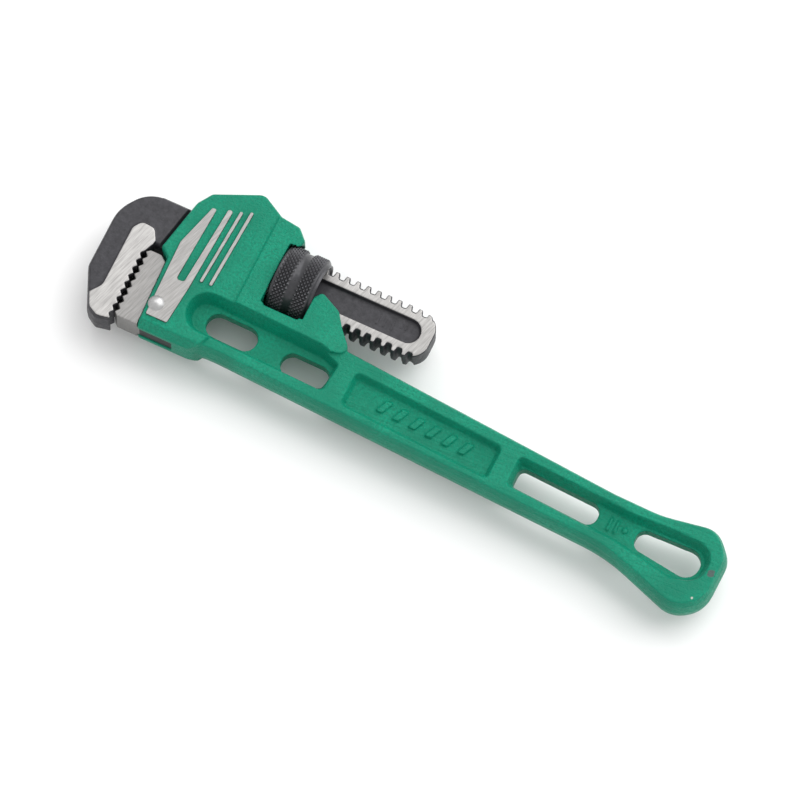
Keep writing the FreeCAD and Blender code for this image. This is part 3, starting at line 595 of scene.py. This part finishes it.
def knurl_tree(material):
    """Geometry nodes: staggered rows of four-sided points round the nut's axis."""
    tree = bpy.data.node_groups.new("Knurl", "GeometryNodeTree")
    face = tree.interface
    face.new_socket("Geometry", in_out="INPUT", socket_type="NodeSocketGeometry")
    for name in ("Columns", "Rows"):
        face.new_socket(name, in_out="INPUT", socket_type="NodeSocketInt")
    for name in ("Radius", "Depth", "Start", "Row Step", "Axis Y", "Axis Z"):
        face.new_socket(name, in_out="INPUT", socket_type="NodeSocketFloat")
    face.new_socket("Geometry", in_out="OUTPUT", socket_type="NodeSocketGeometry")

    def add(kind, links=(), **settings):
        node = tree.nodes.new(kind)
        for name, value in settings.items():
            setattr(node, name, value)
        for socket, value in links:
            if isinstance(value, bpy.types.NodeSocket):
                tree.links.new(value, node.inputs[socket])
            else:
                node.inputs[socket].default_value = value
        return node

    def sums(operation, *values):
        return add("ShaderNodeMath", tuple(enumerate(values)), operation=operation).outputs[0]

    given = add("NodeGroupInput").outputs
    count = sums("MULTIPLY", given["Columns"], given["Rows"])
    line = add("GeometryNodeMeshLine", (("Count", count), ("Offset", (0, 0, 0))))
    index = add("GeometryNodeInputIndex").outputs[0]
    row = sums("FLOOR", sums("DIVIDE", sums("ADD", index, 0.5), given["Columns"]))
    half = sums("MULTIPLY", sums("MODULO", row, 2.0), 0.5)
    share = sums("DIVIDE", sums("ADD", index, half), given["Columns"])
    angle = sums("MULTIPLY", share, math.tau)
    low = sums("SUBTRACT", given["Radius"], given["Depth"])
    place = add("ShaderNodeCombineXYZ", (
        (0, sums("ADD", given["Start"], sums("MULTIPLY", row, given["Row Step"]))),
        (1, sums("ADD", given["Axis Y"], sums("MULTIPLY", low, sums("COSINE", angle)))),
        (2, sums("ADD", given["Axis Z"], sums("MULTIPLY", low, sums("SINE", angle))))))
    points = add("GeometryNodeSetPosition", (("Geometry", line.outputs[0]),
                                             ("Position", place.outputs[0])))
    turn = add("ShaderNodeCombineXYZ", ((0, sums("SUBTRACT", angle, math.pi / 2)),))
    width = sums("DIVIDE", sums("MULTIPLY", low, math.pi), given["Columns"])
    point = add("GeometryNodeMeshCone", (("Vertices", 4), ("Radius Top", 0.0),
                                         ("Radius Bottom", 1.0), ("Depth", given["Depth"])))
    size = add("ShaderNodeCombineXYZ", ((0, given["Row Step"]), (1, width), (2, 1.0)))
    shaped = add("GeometryNodeTransform", (("Geometry", point.outputs[0]),
                                           ("Scale", size.outputs[0])))
    every = add("GeometryNodeInstanceOnPoints", (("Points", points.outputs[0]),
                                                 ("Instance", shaped.outputs[0]),
                                                 ("Rotation", turn.outputs[0])))
    real = add("GeometryNodeRealizeInstances", (("Geometry", every.outputs[0]),))
    done = add("GeometryNodeSetMaterial", (("Geometry", real.outputs[0]),
                                           ("Material", material)))
    add("NodeGroupOutput", (("Geometry", done.outputs[0]),))
    return tree


class WRENCH_OT_heel_jaw(BuildStep, bpy.types.Operator):
    """Heel jaw and its domed pin"""
    bl_idname = "wrench.heel_jaw"
    bl_label = "Heel jaw and pin"

    def execute(self, context):
        look = self.look(context)
        ground = ground_steel_finish(look, "ground_heel_shaded_tang", JAWS_TURN, share=0.72,
                                     bright_part=ahead_of_seat)
        put_finish("heel_jaw", ground)
        skin = cast_copy("heel", joined_copy("heel_jaw"), 0.2 * MM, passes=2, keep=0.3)
        skin.materials.append(ground)
        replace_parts(new_piece("heel", skin, "handle_body"), "heel_jaw")
        bright = bright_finish("bright_pin", (0.5, 0.5, 0.5), 0.36)
        put_finish("heel_jaw_pin", bright)
        pin = pin_mesh()
        pin.materials.append(bright)
        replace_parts(new_piece("pin", pin, "handle_body"), "heel_jaw_pin")
        return {"FINISHED"}


def pin_mesh():
    """The pin turned about its axis: a plain shank with a low dome on each end."""
    low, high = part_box("heel_jaw_pin")
    head, shank, steps = (high.x - low.x) / 2, 2.0 * MM, 64
    ball = (head ** 2 + DOME ** 2) / (2 * DOME)
    half = []
    for step in range(11):
        angle = math.asin(head / ball) * step / 10
        half.append((ball * math.sin(angle), BAR_TOP + DOME - ball * (1 - math.cos(angle))))
    profile = half + [(shank, BAR_TOP)]
    profile += [(radius, -height) for radius, height in reversed(profile)]
    bm = bmesh.new()
    line = [bm.verts.new((PIN.x + radius, PIN.y, MID_Z + height)) for radius, height in profile]
    edges = [bm.edges.new(pair) for pair in zip(line, line[1:])]
    bmesh.ops.spin(bm, geom=line + edges, cent=PIN, axis=(0, 0, 1), angle=math.tau,
                   steps=steps, use_merge=True)
    bmesh.ops.remove_doubles(bm, verts=bm.verts, dist=1e-6)
    bmesh.ops.recalc_face_normals(bm, faces=bm.faces)
    data = bpy.data.meshes.new("pin")
    bm.to_mesh(data)
    bm.free()
    shade(data)
    data.set_sharp_from_angle(angle=math.radians(35))
    return data


class WRENCH_OT_springs(BuildStep, bpy.types.Operator):
    """Leaf, coil and rivet inside the housing"""
    bl_idname = "wrench.springs"
    bl_label = "Springs"

    def execute(self, context):
        steel = bright_finish("spring_steel", (0.36, 0.36, 0.38), 0.32)
        for node in ("flat_spring", "coil_spring", "spring_rivet"):
            put_finish(node, steel)
        return {"FINISHED"}


class WRENCH_OT_stage(BuildStep, bpy.types.Operator):
    """Pale floor, soft light and the camera"""
    bl_idname = "wrench.stage"
    bl_label = "Stage"

    def execute(self, context):
        scene = context.scene
        floor_mesh = bpy.data.meshes.new("floor")
        reach, low = 4.0, CAD_BOUNDS[0][2]
        floor_mesh.from_pydata([(-reach, -reach, low), (reach, -reach, low),
                                (reach, reach, low), (-reach, reach, low)], [], [(0, 1, 2, 3)])
        floor = bpy.data.objects.new("floor", floor_mesh)
        scene.collection.objects.link(floor)
        pale = Tree("floor")
        pale.set(Base_Color=(0.9, 0.9, 0.9, 1), Roughness=0.9)
        floor_mesh.materials.append(pale.material)
        world = bpy.data.worlds.new("studio")
        world.use_nodes = True
        world.node_tree.nodes["Background"].inputs[0].default_value = (1, 1, 1, 1)
        world.node_tree.nodes["Background"].inputs[1].default_value = 0.9
        scene.world = world
        place_light("key", place=(0.7, 1.3, 1.35), side=2.4, watts=38.0)
        place_light("sheen", place=(-0.5, 0.45, 1.1), side=0.35, watts=1.2)
        place_camera(scene)
        scene.view_settings.view_transform = "Standard"
        return {"FINISHED"}


def place_light(name, place, side, watts):
    """A square soft light that faces the wrench."""
    light = bpy.data.lights.new(name, "AREA")
    light.shape = "SQUARE"
    light.size = side
    light.energy = watts
    lamp = bpy.data.objects.new(name, light)
    lamp.location = place
    lamp.rotation_euler = (-Vector(place)).to_track_quat("-Z", "Y").to_euler()
    bpy.context.scene.collection.objects.link(lamp)


def place_camera(scene):
    """The camera, above the handle's side and a little towards its end."""
    camera = bpy.data.cameras.new("camera")
    camera.sensor_width = 36.0
    camera.lens = VIEW_LENS
    eye = bpy.data.objects.new("camera", camera)
    azimuth, elevation = math.radians(VIEW_AZIMUTH), math.radians(VIEW_ELEVATION)
    way = Vector((math.sin(azimuth) * math.cos(elevation),
                  -math.cos(azimuth) * math.cos(elevation), math.sin(elevation)))
    eye.location = PIN + VIEW_TARGET + way * VIEW_DISTANCE
    aim = (-way).to_track_quat("-Z", "Y").to_matrix()
    eye.rotation_euler = (aim @ Matrix.Rotation(math.radians(VIEW_ROLL), 3, "Z")).to_euler()
    scene.collection.objects.link(eye)
    scene.camera = eye


class WRENCH_PT_panel(bpy.types.Panel):
    """Sidebar panel that lists the steps"""
    bl_idname = "WRENCH_PT_panel"
    bl_label = "Pipe wrench"
    bl_space_type = "VIEW_3D"
    bl_region_type = "UI"
    bl_category = "Wrench"

    def draw(self, context):
        column = self.layout.column()
        for name in WRENCH_PG_look.__annotations__:
            column.prop(context.scene.wrench_look, name)
        for step in STEPS:
            column.operator(step.bl_idname)


STEPS = (WRENCH_OT_casting, WRENCH_OT_panel_bars, WRENCH_OT_hook_jaw, WRENCH_OT_nut,
         WRENCH_OT_heel_jaw, WRENCH_OT_springs, WRENCH_OT_stage)
CLASSES = (WRENCH_PG_look, *STEPS, WRENCH_PT_panel)


def register():
    for cls in CLASSES:
        bpy.utils.register_class(cls)
    bpy.types.Scene.wrench_look = bpy.props.PointerProperty(type=WRENCH_PG_look)


def unregister():
    del bpy.types.Scene.wrench_look
    for cls in reversed(CLASSES):
        bpy.utils.unregister_class(cls)


def main():
    """Register the add-on and run every step in order."""
    register()
    for step in STEPS:
        group, name = step.bl_idname.split(".")
        getattr(getattr(bpy.ops, group), name)()


if __name__ == "__main__":
    main()
